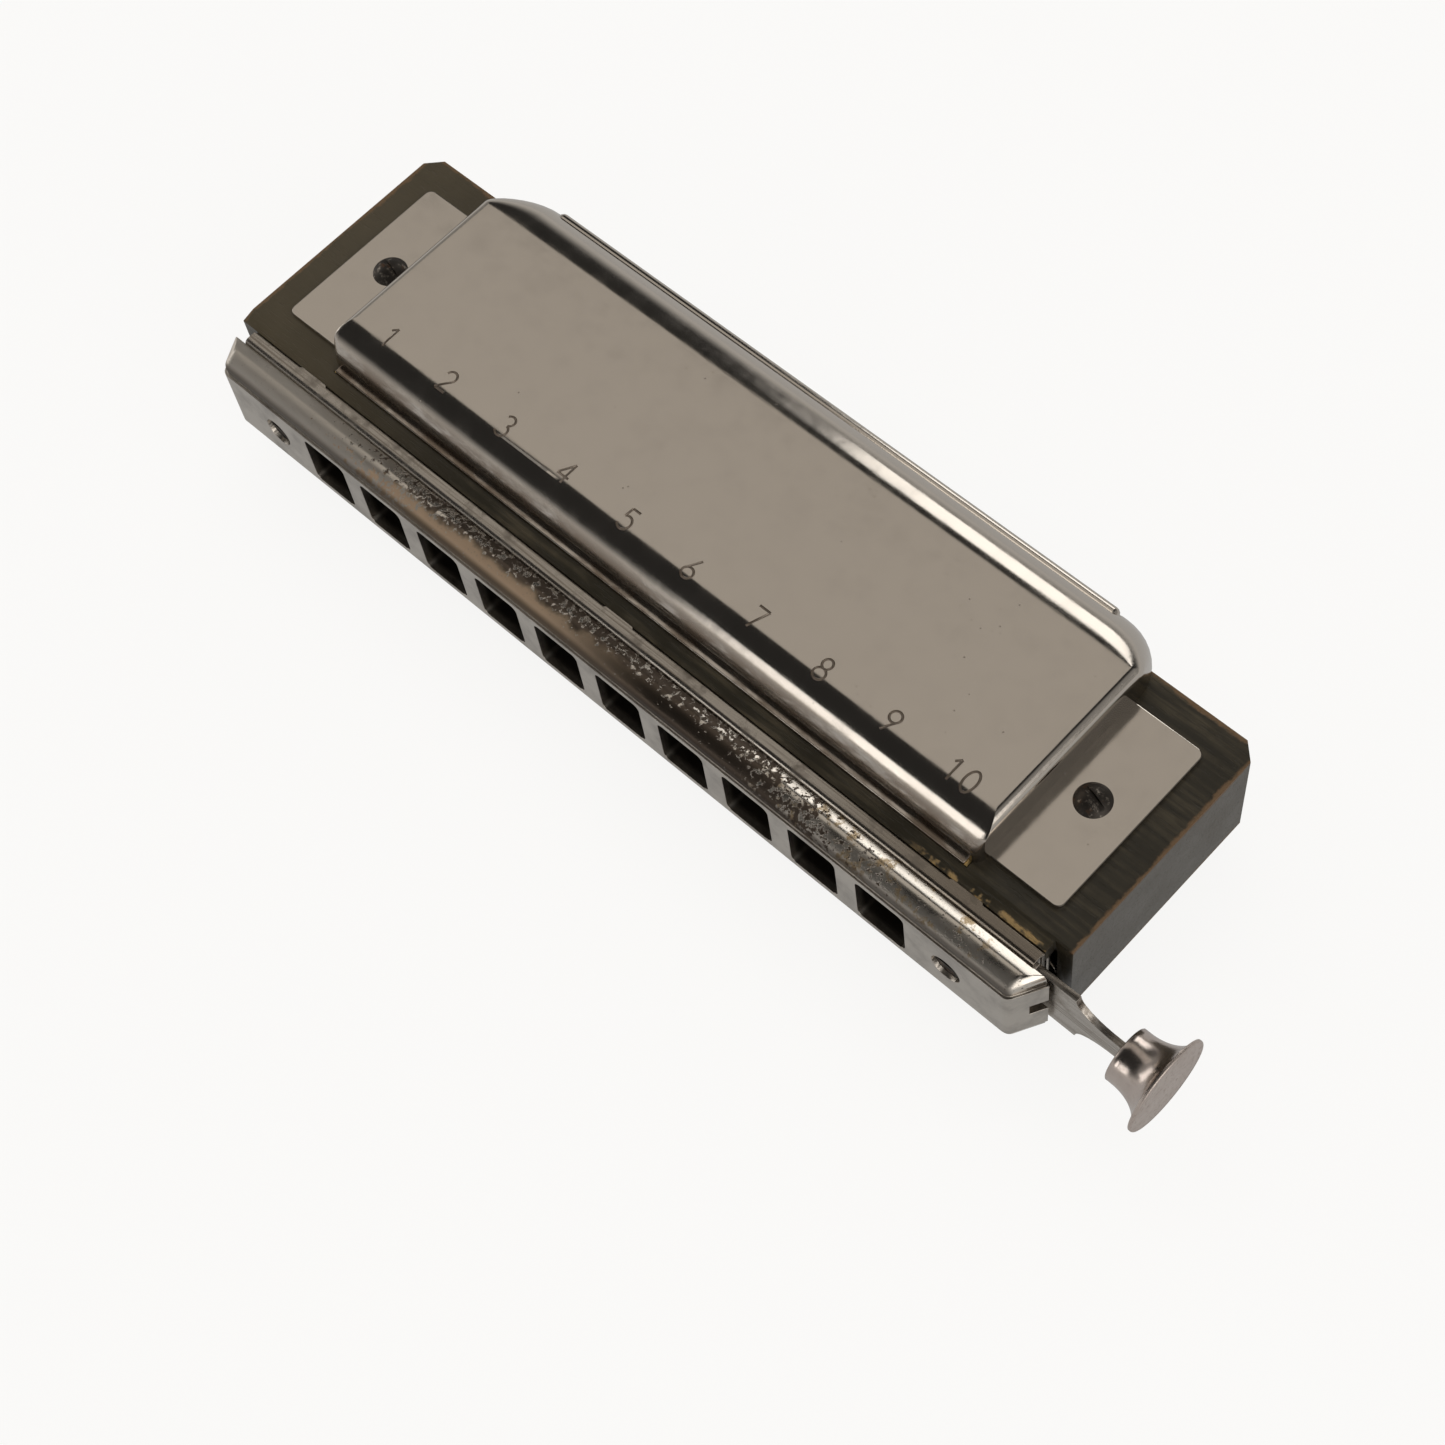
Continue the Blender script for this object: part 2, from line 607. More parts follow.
class CoverShape:
    """The drawn cover: its outline at any height above the comb and any inset from its outer face."""

    def __init__(self, settings):
        self.s = settings
        self.height = COVER_HIGH.z - COMB_HIGH.z
        self.half = (COVER_HIGH.x - COVER_LOW.x) / 2 - settings.tab_l
        self.back = COVER_HIGH.y
        self.front = COVER_LOW.y + settings.foot_w
        self.flat_y0 = self.front + settings.nose_r
        self.flat_y1 = self.back - self.reach(0.0, settings.tail_r, 0.0)

    def reach(self, z, radius, inset):
        """How far a bend of that radius stands out past its centre at height z."""
        rise = z - (self.height - radius)
        tight = radius - inset
        return tight if rise <= 0 else math.sqrt(max(tight * tight - rise * rise, 0.0))

    def outline(self, z, inset, steps=10):
        """Closed outline of the shell at height z."""
        s = self.s
        x = self.half - s.end_r + self.reach(z, s.end_r, inset)
        y0 = self.flat_y0 - self.reach(z, s.nose_r, inset)
        y1 = self.flat_y1 + self.reach(z, s.tail_r, inset)
        least = 0.12 * MM
        end_inset = self.half - x
        front = tuple(max(s.front_corner - d, least) for d in (end_inset, y0 - self.front))
        rear = tuple(max(s.rear_corner - d, least) for d in (end_inset, self.back - y1))
        right = arc((x - front[0], y0 + front[1]), front, -90, 0, steps)
        right += arc((x - rear[0], y1 - rear[1]), rear, 0, 90, steps)
        return right + [(-px, py) for px, py in reversed(right)]

    def top(self, y):
        """Height of the outer face on the flat top and the bends."""
        s = self.s
        if y < self.flat_y0:
            return self.height - s.nose_r + math.sqrt(max(s.nose_r**2 - (self.flat_y0 - y) ** 2, 0))
        return self.height

    def shell(self, bm, levels=36):
        """Outer face, inner face and the edge that the cover stands on."""
        rings = []
        for inset in (0.0, self.s.sheet):
            top = self.height - inset
            heights = [top * (1 - (1 - k / levels) ** 2) for k in range(levels + 1)]
            rings.append([[bm.verts.new((x, y, z)) for x, y in self.outline(z, inset)] for z in heights])
        outer, inner = rings
        bridge(bm, inner[::-1] + outer)
        bm.faces.new(outer[-1])
        bm.faces.new(inner[-1])

    def tab_outline(self):
        """Outline of the right screw tab."""
        s = self.s
        y1 = self.flat_y1 - s.tab_back
        y0 = y1 - s.tab_w
        x0 = self.half - s.sheet / 2
        x1 = self.half + s.tab_l
        r = s.tab_r
        rounded = arc((x1 - r, y0 + r), r, -90, 0, 6) + arc((x1 - r, y1 - r), r, 0, 90, 6)
        return [(x0, y0), *rounded, (x0, y1)]


def digit_strokes(digit):
    """Strokes of a numeral one high and DIGIT_W wide; a stroke that ends where it starts is a ring."""
    shapes = {
        0: [arc((0.3, 0.5), (0.27, 0.5), 90, 450, 24)],
        1: [[(0.12, 0.78), (0.34, 1.0)], [(0.34, 1.0), (0.34, 0.0)]],
        2: [
            arc((0.3, 0.73), (0.26, 0.27), 170, -35, 12),
            [(0.51, 0.57), (0.03, 0.0)],
            [(0.03, 0.0), (0.58, 0.0)],
        ],
        3: [
            arc((0.27, 0.76), (0.24, 0.24), 150, -75, 12),
            arc((0.27, 0.25), (0.29, 0.27), 75, -150, 12),
        ],
        4: [[(0.42, 0.0), (0.42, 1.0)], [(0.42, 1.0), (0.0, 0.3)], [(0.0, 0.3), (0.6, 0.3)]],
        5: [
            [(0.52, 1.0), (0.12, 1.0)],
            [(0.12, 1.0), (0.08, 0.56)],
            arc((0.27, 0.32), (0.3, 0.32), 130, -150, 14),
        ],
        6: [[(0.46, 1.0), (0.08, 0.38)], arc((0.3, 0.25), (0.27, 0.25), 90, 450, 20)],
        7: [[(0.02, 1.0), (0.58, 1.0)], [(0.58, 1.0), (0.2, 0.0)]],
        8: [
            arc((0.3, 0.76), (0.22, 0.24), -90, 270, 18),
            arc((0.3, 0.26), (0.28, 0.26), 90, 450, 20),
        ],
        9: [[(0.14, 0.0), (0.49, 0.57)], arc((0.3, 0.74), (0.26, 0.26), -80, 280, 22)],
    }
    return shapes[digit]


def number_strokes(number):
    """Strokes of a whole number, centred on the origin and one high."""
    digits = [int(c) for c in str(number)]
    width = DIGIT_W * len(digits) + DIGIT_GAP * (len(digits) - 1)
    moved = []
    for k, digit in enumerate(digits):
        left = k * (DIGIT_W + DIGIT_GAP) - width / 2
        moved += [[(x + left, y - 0.5) for x, y in stroke] for stroke in digit_strokes(digit)]
    return moved


def stamp(bm, path, radius, sides=8):
    """A round cutter along a path of places, closed to a ring where the path ends at its start."""
    ring = (path[0] - path[-1]).length < TINY
    spots = path[:-1] if ring else path
    count = len(spots)
    loops = []
    for k, spot in enumerate(spots):
        before = spots[k - 1] if ring or k else spot
        after = spots[(k + 1) % count] if ring or k + 1 < count else spot
        along = (after - before).normalized()
        across = along.cross(Vector((0, 0, 1))).normalized()
        up = across.cross(along)
        turns = [math.tau * (n + 0.5) / sides for n in range(sides)]
        spokes = [math.cos(a) * across + math.sin(a) * up for a in turns]
        loops.append([bm.verts.new(spot + radius * spoke) for spoke in spokes])
    if ring:
        bridge(bm, loops + loops[:1])
    else:
        bridge(bm, loops)
        bm.faces.new(loops[0])
        bm.faces.new(loops[-1])


def hole_places():
    """Middles of the mouth holes, each between its blow reed and its draw reed."""
    places = []
    for k in range(HOLE_COUNT):
        blow, draw = (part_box(f"upper_{breath}_reed_{k + 1}") for breath in BREATHS)
        places.append((min(blow[0].x, draw[0].x) + max(blow[1].x, draw[1].x)) / 2)
    return places


def stamped_numbers(shape):
    """Cutters of the hole numbers along the front of the flat top, one object per stroke."""
    s = shape.s
    above = 0.05 * s.stroke_r
    tools = []
    for k, middle in enumerate(hole_places()):
        for stroke in number_strokes(k + 1):
            spots = [(middle + x * s.number_h, y * s.number_h - s.number_y) for x, y in stroke]
            path = [Vector((x, y, shape.top(y) + above)) for x, y in spots]
            tools.append(solid("stamp", partial(stamp, path=path, radius=s.stroke_r)))
    return tools


def cover_solid(shape, numbered):
    """One cover above the comb's top, with z counted from there."""
    s = shape.s
    reach = 2 * s.tail_r

    def vent(bm):
        corners = rectangle(-s.vent_l / 2, shape.flat_y1, s.vent_l / 2, shape.back + reach)
        prism(bm, corners, lambda p, h: Vector((*p, h - reach)), reach + s.vent_h)

    def hem(bm):
        drop = s.vent_h - (shape.height - s.tail_r)
        y = shape.flat_y1 + math.sqrt((s.tail_r - s.sheet / 2) ** 2 - drop**2)
        turn = Matrix.Translation((-s.vent_l / 2, y, s.vent_h)) @ Matrix.Rotation(math.pi / 2, 4, "Y")
        r = s.hem_r
        cap = [(r * math.sin(a), r * (1 - math.cos(a))) for a in (0, 0.4, 0.8, 1.2)]
        bar = [*cap, (r, r), (r, s.vent_l - r), *[(x, s.vent_l - h) for x, h in reversed(cap)]]
        lathe(bm, bar, 24, turn)

    def left_tab(bm):
        prism(bm, shape.tab_outline(), lambda p, h: Vector((-p[0], p[1], h)), s.sheet)

    def right_tab(bm):
        prism(bm, shape.tab_outline(), lambda p, h: Vector((*p, h)), s.sheet)

    def foot(bm):
        x = shape.half - s.front_corner
        corners = rectangle(-x, COVER_LOW.y, x, shape.front + s.sheet / 2)
        prism(bm, corners, lambda p, h: Vector((*p, h)), s.sheet)

    cover = solid("cover", shape.shell)
    cut(cover, [solid("vent", vent)])
    parts = [soften(solid("part", build), s.edge, 2) for build in (left_tab, right_tab, foot)]
    cut(cover, [*parts, solid("part", hem)], "UNION")
    if numbered:
        cut(cover, stamped_numbers(shape))
    return cover


def true_normals(cover, shape, steepest=0.9, near=0.02 * MM):
    """Gives the flat top and the front bend their exact normals, so that the numbers leave no smears."""
    mesh = cover.data
    normals = [Vector(corner.vector) for corner in mesh.corner_normals]
    exact = {}
    for spot in mesh.vertices:
        lean = max(shape.flat_y0 - spot.co.y, 0) / shape.s.nose_r
        sunk = abs(spot.co.z - COMB_HIGH.z - shape.top(spot.co.y))
        if spot.co.y < 0 and lean < steepest and sunk < near:
            exact[spot.index] = Vector((0, -lean, math.sqrt(1 - lean**2)))
    for face in mesh.polygons:
        if all(spot in exact for spot in face.vertices):
            for corner, spot in zip(face.loop_indices, face.vertices):
                normals[corner] = exact[spot]
    mesh.normals_split_custom_set(normals)


class HARMONICA_OT_covers(bpy.types.Operator):
    """Make the two plated covers with their tabs, vents and stamped numbers"""

    bl_idname = "harmonica.covers"
    bl_label = "Covers"

    def execute(self, context):
        settings = context.scene.harmonica.covers
        shape = CoverShape(settings)
        material = cover_finish(settings)
        for plate in PLATES:
            upright = plate == "upper"
            cover = cover_solid(shape, upright)
            flip = Matrix.Diagonal((1, 1, 1 if upright else -1, 1))
            rise = COMB_HIGH.z if upright else COMB_LOW.z
            cover.data.transform(Matrix.Translation((0, 0, rise)) @ flip)
            if not upright:
                cover.data.flip_normals()
            cover.name = f"{plate}_cover_shell"
            flatten(cover)
            if upright:
                true_normals(cover, shape)
            finish_piece(cover, material, "harmonica", f"{plate}_cover")
        return {"FINISHED"}


class HARMONICA_OT_comb(bpy.types.Operator):
    """Make the wooden comb with worn edges"""

    bl_idname = "harmonica.comb"
    bl_label = "Comb"

    def execute(self, context):
        settings = context.scene.harmonica.comb
        comb = soften(copy_of("comb", "comb_block"), settings.edge, 2)
        finish_piece(comb, comb_finish(settings), "harmonica", "comb")
        return {"FINISHED"}


class MouthShape:
    """The drawn mouthpiece: outlines at any height, with the ledge and the domed lip above the face."""

    def __init__(self, settings):
        self.s = settings
        self.face_y = MOUTH_LOW.y
        self.back_y = MOUTH_HIGH.y
        self.back_x = MOUTH_HIGH.x
        self.slant = math.atan(settings.front_inset / (self.back_y - self.face_y))

    def outline(self, front, end, back, steps=8):
        """Closed outline that lies so far inside the front face, the ends and the back."""
        s = self.s
        r = max(s.corner - 0.3 * front, 0.3 * s.corner)
        y0 = self.face_y + front
        y1 = self.back_y - back
        slope = math.tan(self.slant)
        x0 = self.back_x - end / math.cos(self.slant) - slope * (self.back_y - y0)
        x1 = x0 + slope * (y1 - y0)
        r = min(r, 0.9 * (y1 - y0))
        middle = (x0 - r * (1 - math.sin(self.slant)) / math.cos(self.slant), y0 + r)
        right = [*arc(middle, r, -90, -math.degrees(self.slant), steps), (x1, y1)]
        return right + [(-x, y) for x, y in reversed(right)]

    def dome(self, radius, reach):
        """Height of the centre of a dome's arc above the ledge."""
        return self.s.foot_h - math.sqrt(radius**2 - reach**2)

    def inset(self, z, radius, reach):
        """How far inside its foot the lip stands at height z: upright foot, rounded toe, then the dome."""
        toe = self.s.toe_r
        middle = self.dome(radius, reach)
        start = middle + math.sqrt((radius - toe) ** 2 - (reach - toe) ** 2)
        if z <= start:
            return 0.0
        if (z - middle) * (radius - toe) < (start - middle) * radius:
            return toe - math.sqrt(max(toe**2 - (z - start) ** 2, 0.0))
        return reach - math.sqrt(max(radius**2 - (z - middle) ** 2, 0.0))

    def lip(self, steps=28):
        """Rows from the face to the crest: height above the middle, inset of the front, ends and back."""
        s = self.s
        foot = s.face_h / 2
        middle = self.dome(s.lip_r, s.crest_d)
        crest = middle + s.lip_r
        depth = self.back_y - self.face_y - s.ledge
        top = 0.9999 * crest
        rows = [(foot, 0.0, 0.0, 0.0)]
        for k in range(steps):
            z = top * (1 - (1 - k / (steps - 1)) ** 2)
            run = (crest - z) / math.tan(s.back_fall) + s.crest_r
            across = math.sqrt(run**2 - s.crest_r**2)
            front = s.ledge + self.inset(z, s.lip_r, s.crest_d)
            end = s.ledge + self.inset(z, s.fall_r, s.fall_d)
            rows.append((foot + z, front, end, max(depth - s.crest_d - across, 0.0)))
        return rows

    def block(self, bm):
        """Rings from the lower crest over the face to the upper crest."""
        rows = self.lip()
        loops = []
        for side, half in ((-1, reversed(rows)), (1, rows)):
            for z, *insets in half:
                height = MIDDLE_Z + side * z
                loops.append([bm.verts.new((*p, height)) for p in self.outline(*insets)])
        bridge(bm, loops)
        bm.faces.new(loops[0])
        bm.faces.new(loops[-1])

    def drill(self, outline, x, lead, deep):
        """Cutter of that outline round x, from lead in front of the face to deep behind it."""

        def place(p, d):
            return Vector((x + p[0], self.face_y - lead + d, MIDDLE_Z + p[1]))

        return solid("drill", partial(prism, outline=outline, lift=place, thickness=lead + deep))

    def hole(self, x):
        """Cutter of one mouth hole."""
        s = self.s
        w, h, r = s.hole_w / 2, s.hole_h / 2, s.hole_r
        outline = arc((w - r, h - r), r, 0, 90, 6) + arc((r - w, h - r), r, 90, 180, 6)
        outline += arc((r - w, r - h), r, 180, 270, 6) + arc((w - r, r - h), r, 270, 360, 6)
        depth = self.back_y - self.face_y
        return self.drill(outline, x, depth, 2 * depth)

    def bore(self, x, radius, deep):
        """Cutter of a round bore from the face inwards."""
        return self.drill(arc((0, 0), radius, 0, 360, 48)[:-1], x, MM, deep)

    def slot(self, side):
        """Cutter of the slot in one end."""
        s = self.s
        low = MIDDLE_Z - s.slot_h / 2
        corners = (self.back_x - s.slot_h, self.back_y - s.slot_l, self.back_x + MM, self.back_y + MM)

        def place(p, d):
            return Vector((side * p[0], p[1], low + d))

        return solid("slot", partial(prism, outline=rectangle(*corners), lift=place, thickness=s.slot_h))


class HARMONICA_OT_mouthpiece(bpy.types.Operator):
    """Make the worn mouthpiece with its domed lips, mouth holes and screw bores"""

    bl_idname = "harmonica.mouthpiece"
    bl_label = "Mouthpiece"

    def execute(self, context):
        settings = context.scene.harmonica.mouthpiece
        shape = MouthShape(settings)
        bar = solid("mouthpiece_bar", shape.block)
        low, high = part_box("mouthpiece_screws")
        head = (high.z - low.z) / 2
        shank = 0.62 * head
        screw_x = high.x - head
        tools = [shape.hole(x) for x in hole_places()] + [shape.slot(side) for side in (-1, 1)]
        for x in (-screw_x, screw_x):
            tools.append(shape.bore(x, head + settings.head_gap, settings.head_d))
            tools.append(shape.bore(x, shank, settings.shank_d))
        cut(bar, tools)
        soften(bar, settings.edge, 3, 40)
        flatten(bar, 50)
        finish_piece(bar, mouthpiece_finish(settings), "harmonica", "mouthpiece")
        return {"FINISHED"}


class HARMONICA_OT_slide_works(bpy.types.Operator):
    """Make the slide, its cage, its backing plate, its spring and its button"""

    bl_idname = "harmonica.slide_works"
    bl_label = "Slide works"

    def execute(self, context):
        settings = context.scene.harmonica.works
        steel = steel_finish("slide_steel", settings.steel, settings)
        sheets = {"slide_cage": "harmonica", "backing_plate": "harmonica", "slide": "slide"}
        for node, body in sheets.items():
            sheet = soften(copy_of(node, f"{node}_sheet"), settings.edge, 2)
            finish_piece(sheet, steel, body, node)
        wire = smooth(copy_of("slide_spring", "slide_spring_wire"), 60)
        finish_piece(wire, steel, "harmonica", "slide_spring")
        knob = smooth(solid("button_knob", partial(self.button, s=settings)), 50)
        finish_piece(knob, button_finish(settings), "slide", "slide_button")
        return {"FINISHED"}

    def button(self, bm, s):
        """Turned knob: neck, flared flank, rounded rim and a faintly domed face."""
        length = BUTTON_HIGH.x - BUTTON_LOW.x
        rim = (BUTTON_HIGH.y - BUTTON_LOW.y) / 2
        middle = (BUTTON_LOW + BUTTON_HIGH) / 2
        flare = length - s.neck_l - s.rim_t
        soft = s.rim_t / 2
        grown = rim - s.neck_r
        quarter = arc((0, 0), 1, 90, 0, 14)
        flank = [(s.neck_r + grown * (1 - c), s.neck_l + flare * r) for r, c in quarter]
        edge = [(rim - soft + c, length - soft + r) for c, r in arc((0, 0), soft, 0, 80, 8)]
        lip = [(rim - 1.6 * soft, length - 0.3 * soft), (rim - 2.2 * soft, length - 0.15 * soft)]
        face = [(rim * 0.6, length - 0.05 * soft), (rim * 0.3, length), (0, length)]
        neck = [(0, 0), (s.neck_r - soft / 2, 0), (s.neck_r, soft / 2)]
        start = Matrix.Translation((BUTTON_LOW.x, middle.y, middle.z))
        turn = start @ Matrix.Rotation(math.pi / 2, 4, "Y")
        lathe(bm, neck + flank + edge + lip + face, s.turns, turn)


def row_tree():
    """Geometry nodes that repeat the incoming piece along a straight row and give it its material."""
    tree = bpy.data.node_groups.new("row_of_pieces", "GeometryNodeTree")
    kinds = {"Piece": "Geometry", "Count": "Int", "Start": "Vector", "Step": "Vector", "Finish": "Material"}
    for name, kind in kinds.items():
        tree.interface.new_socket(name, in_out="INPUT", socket_type=f"NodeSocket{kind}")
    tree.interface.new_socket("Row", in_out="OUTPUT", socket_type="NodeSocketGeometry")
    add = tree.nodes.new
    source, sink = add("NodeGroupInput"), add("NodeGroupOutput")
    row, spots = add("GeometryNodeMeshLine"), add("GeometryNodeInstanceOnPoints")
    whole, paint = add("GeometryNodeRealizeInstances"), add("GeometryNodeSetMaterial")
    row.mode = "OFFSET"
    for output, target in (
        (source.outputs["Piece"], spots.inputs["Instance"]),
        (source.outputs["Count"], row.inputs["Count"]),
        (source.outputs["Start"], row.inputs["Start Location"]),
        (source.outputs["Step"], row.inputs["Offset"]),
        (source.outputs["Finish"], paint.inputs["Material"]),
        (row.outputs["Mesh"], spots.inputs["Points"]),
        (spots.outputs["Instances"], whole.inputs["Geometry"]),
        (whole.outputs["Geometry"], paint.inputs["Geometry"]),
        (paint.outputs["Geometry"], sink.inputs["Row"]),
    ):
        tree.links.new(output, target)
    return tree


def row_of(name, mesh, tree, inputs):
    """An object that holds the tree's row of the mesh, with the tree's inputs by name."""
    piece = link(name, mesh)
    nodes = piece.modifiers.new("row", "NODES")
    nodes.node_group = tree
    for socket in tree.interface.items_tree:
        if socket.name in inputs:
            nodes[socket.identifier] = inputs[socket.name]
    return settle(piece)


def join(name, pieces):
    """One object from several."""
    bm = bmesh.new()
    for piece in pieces:
        bm.from_mesh(piece.data)
        bpy.data.objects.remove(piece)
    return link(name, mesh_from(name, bm))


class HARMONICA_OT_fasteners(bpy.types.Operator):
    """Make the screws and the rows of rivets"""

    bl_idname = "harmonica.fasteners"
    bl_label = "Screws and rivets"

    def execute(self, context):
        settings = context.scene.harmonica.works
        black = screw_finish(settings)
        for plate in PLATES:
            node = f"{plate}_cover_screws"
            screws = soften(copy_of(node, f"{plate}_cover_slotted_screws"), settings.edge, 2, 40)
            finish_piece(screws, black, "harmonica", node)
        sunk = soften(copy_of("mouthpiece_screws", "mouthpiece_sunk_screws"), settings.edge, 2, 40)
        finish_piece(sunk, black, "harmonica", "mouthpiece_screws")
        tree = row_tree()
        for plate in PLATES:
            rows = [self.rivets(plate, breath, settings, tree) for breath in BREATHS]
            rivets = smooth(join(f"{plate}_domed_rivets", rows), 50)
            finish_piece(rivets, REED_BRASS, "harmonica", f"{plate}_reed_rivets")
        return {"FINISHED"}

    def rivets(self, plate, breath, s, tree):
        """The rivets of one row of reeds: straight rows, since the reeds shorten evenly."""
        spots = []
        for k in (1, HOLE_COUNT):
            low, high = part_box(f"{plate}_{breath}_reed_{k}")
            y = high.y - s.rivet_inset if breath == "blow" else low.y + s.rivet_inset
            spots.append(Vector(((low.x + high.x) / 2, y, 0)))
        low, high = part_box(f"{plate}_reed_plate")
        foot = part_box(f"{plate}_{breath}_reed_1")
        bottom, top = min(low.z, foot[0].z), max(high.z, foot[1].z)
        r = s.rivet_r
        rise = 0.45 * r
        dome = [(r * math.cos(a), rise * math.sin(a)) for a in (0, 0.3, 0.6, 0.9, 1.2)]
        profile = [(0, bottom - rise), *[(x, bottom - h) for x, h in reversed(dome)]]
        profile += [*[(x, top + h) for x, h in dome], (0, top + rise)]
        mesh = mesh_of("rivet", partial(lathe, profile=profile, steps=16, place=Matrix.Identity(4)))
        step = (spots[1] - spots[0]) / (HOLE_COUNT - 1)
        inputs = {"Count": HOLE_COUNT, "Start": spots[0], "Step": step, "Finish": REED_BRASS}
        return row_of("rivets", mesh, tree, inputs)


class HARMONICA_OT_reeds(bpy.types.Operator):
    """Give the reed plates and the reeds the frame's brass, and the nails their steel"""

    bl_idname = "harmonica.reeds"
    bl_label = "Reeds and plates"

    def execute(self, context):
        settings = context.scene.harmonica.works
        nails = steel_finish("nail_steel", settings.nail, settings)
        for name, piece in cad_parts.items():
            if "_reed_" in name and not name.endswith("rivets"):
                coat(piece, REED_BRASS)
            elif name.endswith("_nails"):
                coat(piece, nails)
        return {"FINISHED"}


# Stage


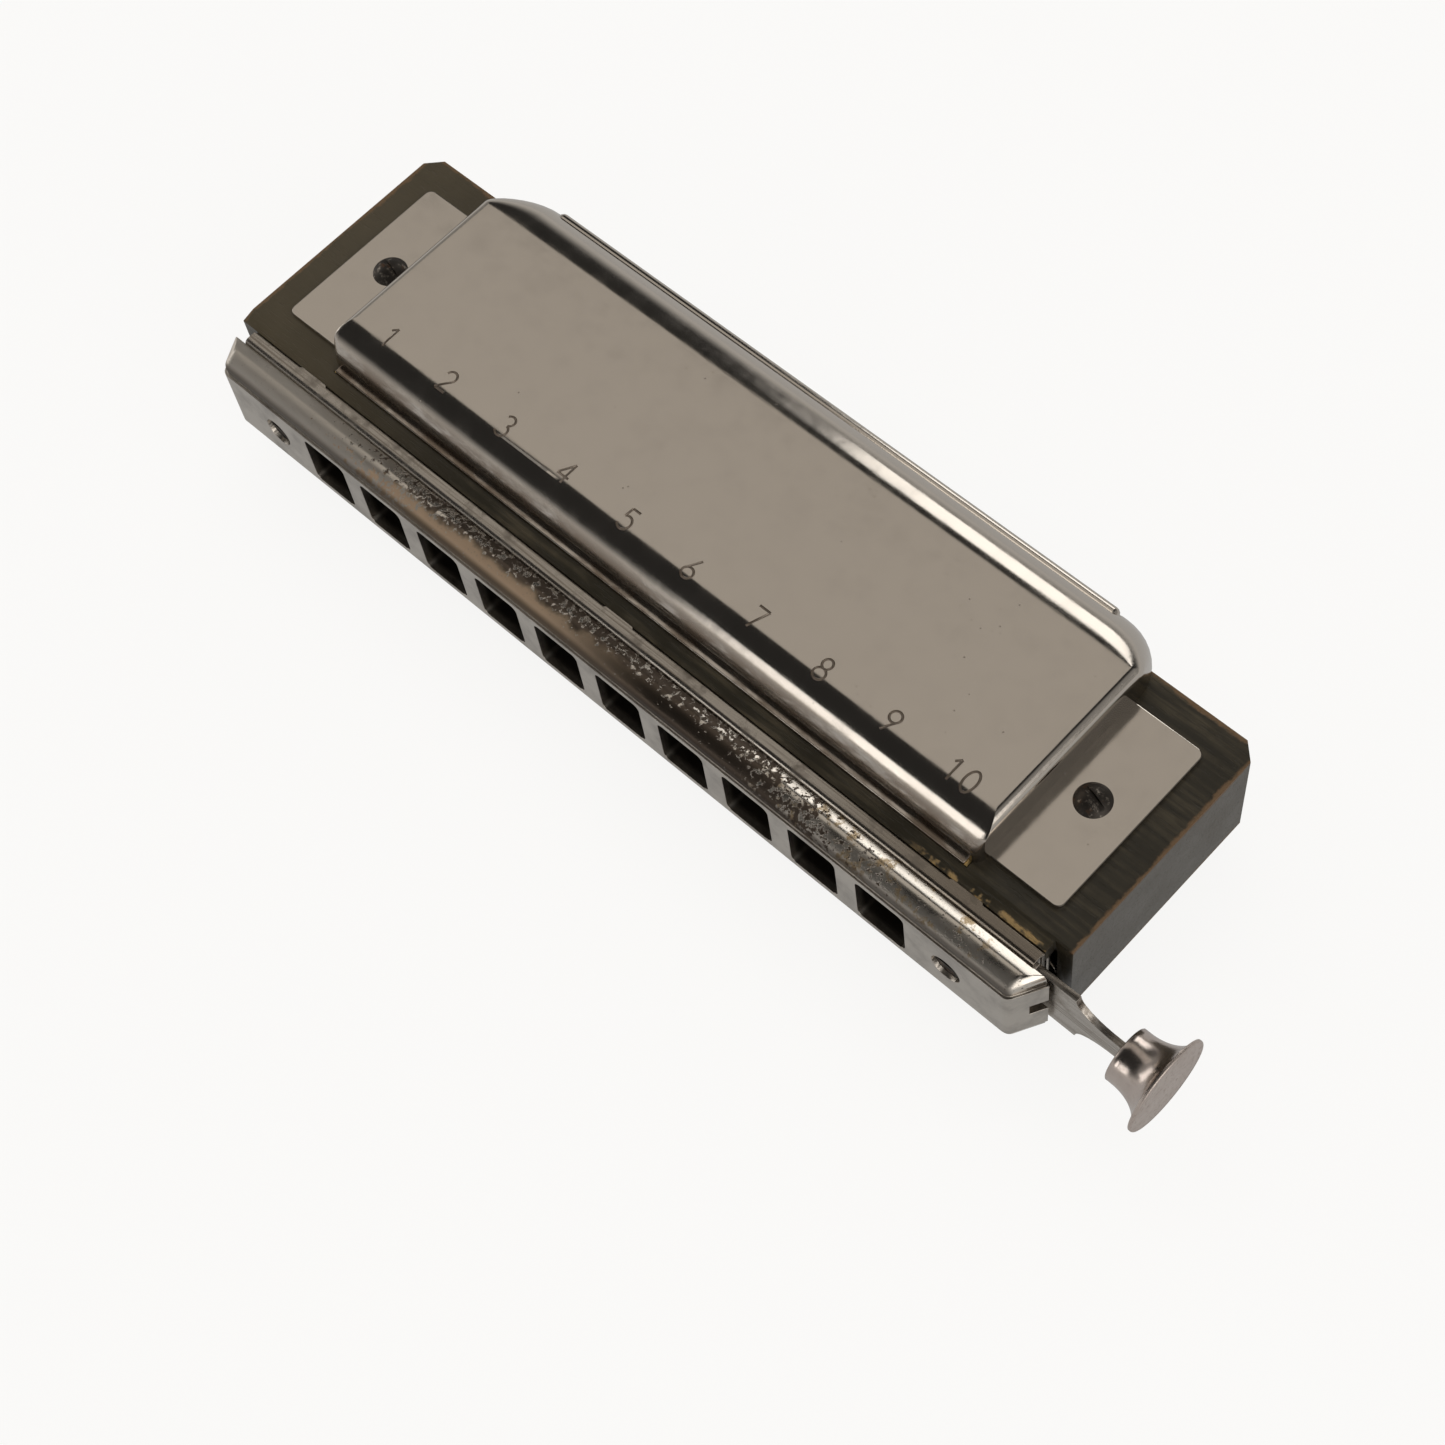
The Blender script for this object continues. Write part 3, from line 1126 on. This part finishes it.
class HARMONICA_OT_stage(bpy.types.Operator):
    """Make the floor, the light and the camera"""

    bl_idname = "harmonica.stage"
    bl_label = "Stage"

    def execute(self, context):
        settings = context.scene.harmonica.stage
        context.scene.view_settings.view_transform = "Standard"
        self.floor(settings)
        self.world(context.scene, settings)
        self.lamps()
        self.camera(context.scene, settings)
        return {"FINISHED"}

    def floor(self, s):
        """Pale floor with the object's shadow, which the camera and the metal see as nearly white."""
        half = 3.0
        gap = 0.02 * MM

        def build(bm):
            bmesh.ops.create_grid(bm, x_segments=1, y_segments=1, size=half)
            bmesh.ops.translate(bm, verts=bm.verts, vec=(0, 0, CAD_BOX[0].z - gap))

        floor = solid("floor", build)
        f = Finish("floor_paint")
        lens, mirror = (f.add("ShaderNodeLightPath", out=k) for k in (0, 3))
        paper = f.add("ShaderNodeBsdfDiffuse", None, {"Color": rgba(s.floor)})
        glow = f.add("ShaderNodeEmission", None, {"Color": rgba(s.glow), "Strength": lens * 0.56 + 0.44})
        both = f.add("ShaderNodeMixShader", None, {0: lens.most(mirror) * 0.88, 1: paper, 2: glow})
        f.add("ShaderNodeOutputMaterial", None, {"Surface": both})
        floor.data.materials.append(f.material)

    def world(self, scene, s):
        """White for the camera; for the metal, dark above with a bright horizon and pale walls."""
        scene.world = scene.world or bpy.data.worlds.new("studio")
        scene.world.use_nodes = True
        w = Tree(scene.world.node_tree)
        way = w.add("ShaderNodeTexCoord")
        aside, height = (w.add("ShaderNodeSeparateXYZ", None, {0: way}, axis) for axis in (0, 2))
        lens = w.add("ShaderNodeLightPath")
        wall = aside.step(0.05, 0.45).most(aside.step(-0.62, -0.80)) * 0.26
        strength = (height.step(0.46, 0.06) * 0.48 + 0.025).most(wall).most(lens * 0.97)
        light = w.add("ShaderNodeBackground", None, {"Color": rgba(s.room), "Strength": strength})
        w.add("ShaderNodeOutputWorld", None, {"Surface": light})

    def lamps(self):
        """Soft boxes: name, way from the object, way of the width, distance, size, radiance and tint."""
        boxes = (
            ("overhead", (-0.42, 0.26, 0.865), (1, 0.16, 0), 0.70, (0.62, 0.28), 0.46, (1.0, 0.93, 0.84)),
            ("front", (-0.24, -0.90, 0.37), (1, 0, 0), 0.60, (0.17, 0.24), 1.6, (1.0, 0.98, 0.95)),
            ("back", (-0.23, 0.81, 0.54), (1, 0, 0), 0.60, (0.20, 0.27), 1.7, (1.0, 0.98, 0.95)),
            ("right", (0.86, -0.15, 0.48), (0, 1, 0), 0.80, (0.8, 0.5), 1.5, (1.0, 0.96, 0.92)),
            ("left", (-0.93, -0.25, 0.30), (0, 1, 0), 0.80, (0.5, 0.3), 1.2, (1.0, 0.97, 0.94)),
            ("fill", (-0.10, 0.05, 1.00), (1, 0, 0), 1.10, (1.6, 1.6), 1.0, (1.0, 0.98, 0.95)),
        )
        for name, way, width, distance, extent, radiance, colour in boxes:
            data = bpy.data.lights.new(name, "AREA")
            data.shape = "RECTANGLE"
            data.size, data.size_y = extent
            data.energy = radiance * math.pi * extent[0] * extent[1]
            data.color = colour
            lamp = link(name, data)
            away = Vector(way).normalized()
            across = (Vector(width) - away * away.dot(Vector(width))).normalized()
            turn = Matrix((across, away.cross(across), away)).transposed()
            spot = away * distance + Vector((0, 0, MIDDLE_Z))
            lamp.matrix_world = Matrix.Translation(spot) @ turn.to_4x4()
            lamp.visible_camera = False
            lamp.visible_glossy = name != "fill"

    def camera(self, scene, s):
        """The photograph's viewing angle."""
        data = bpy.data.cameras.new("camera")
        data.lens = s.lens
        data.sensor_width = 36.0
        data.clip_start = 0.01
        camera = link("camera", data)
        turn = Matrix.Rotation(s.azimuth, 3, "Z") @ Matrix.Rotation(math.pi / 2 - s.elevation, 3, "X")
        camera.rotation_euler = (turn @ Matrix.Rotation(s.roll, 3, "Z")).to_euler()
        camera.location = s.eye
        scene.camera = camera


class HARMONICA_PT_panel(bpy.types.Panel):
    """Lists the harmonica's operators in the sidebar"""

    bl_idname = "HARMONICA_PT_panel"
    bl_label = "Harmonica"
    bl_space_type = "VIEW_3D"
    bl_region_type = "UI"
    bl_category = "Harmonica"

    def draw(self, context):
        for operator in OPERATORS:
            self.layout.operator(operator.bl_idname)


OPERATORS = (
    HARMONICA_OT_stage,
    HARMONICA_OT_comb,
    HARMONICA_OT_reeds,
    HARMONICA_OT_covers,
    HARMONICA_OT_mouthpiece,
    HARMONICA_OT_slide_works,
    HARMONICA_OT_fasteners,
)
GROUPS = (CoverSettings, CombSettings, MouthpieceSettings, WorksSettings, StageSettings, HarmonicaSettings)
CLASSES = (*GROUPS, *OPERATORS, HARMONICA_PT_panel)


def register():
    for kind in CLASSES:
        bpy.utils.register_class(kind)
    bpy.types.Scene.harmonica = PointerProperty(type=HarmonicaSettings)


def unregister():
    del bpy.types.Scene.harmonica
    for kind in reversed(CLASSES):
        bpy.utils.unregister_class(kind)


def main():
    register()
    bpy.ops.harmonica.stage()
    bpy.ops.harmonica.comb()
    bpy.ops.harmonica.reeds()
    bpy.ops.harmonica.covers()
    bpy.ops.harmonica.mouthpiece()
    bpy.ops.harmonica.slide_works()
    bpy.ops.harmonica.fasteners()


if __name__ == "__main__":
    main()
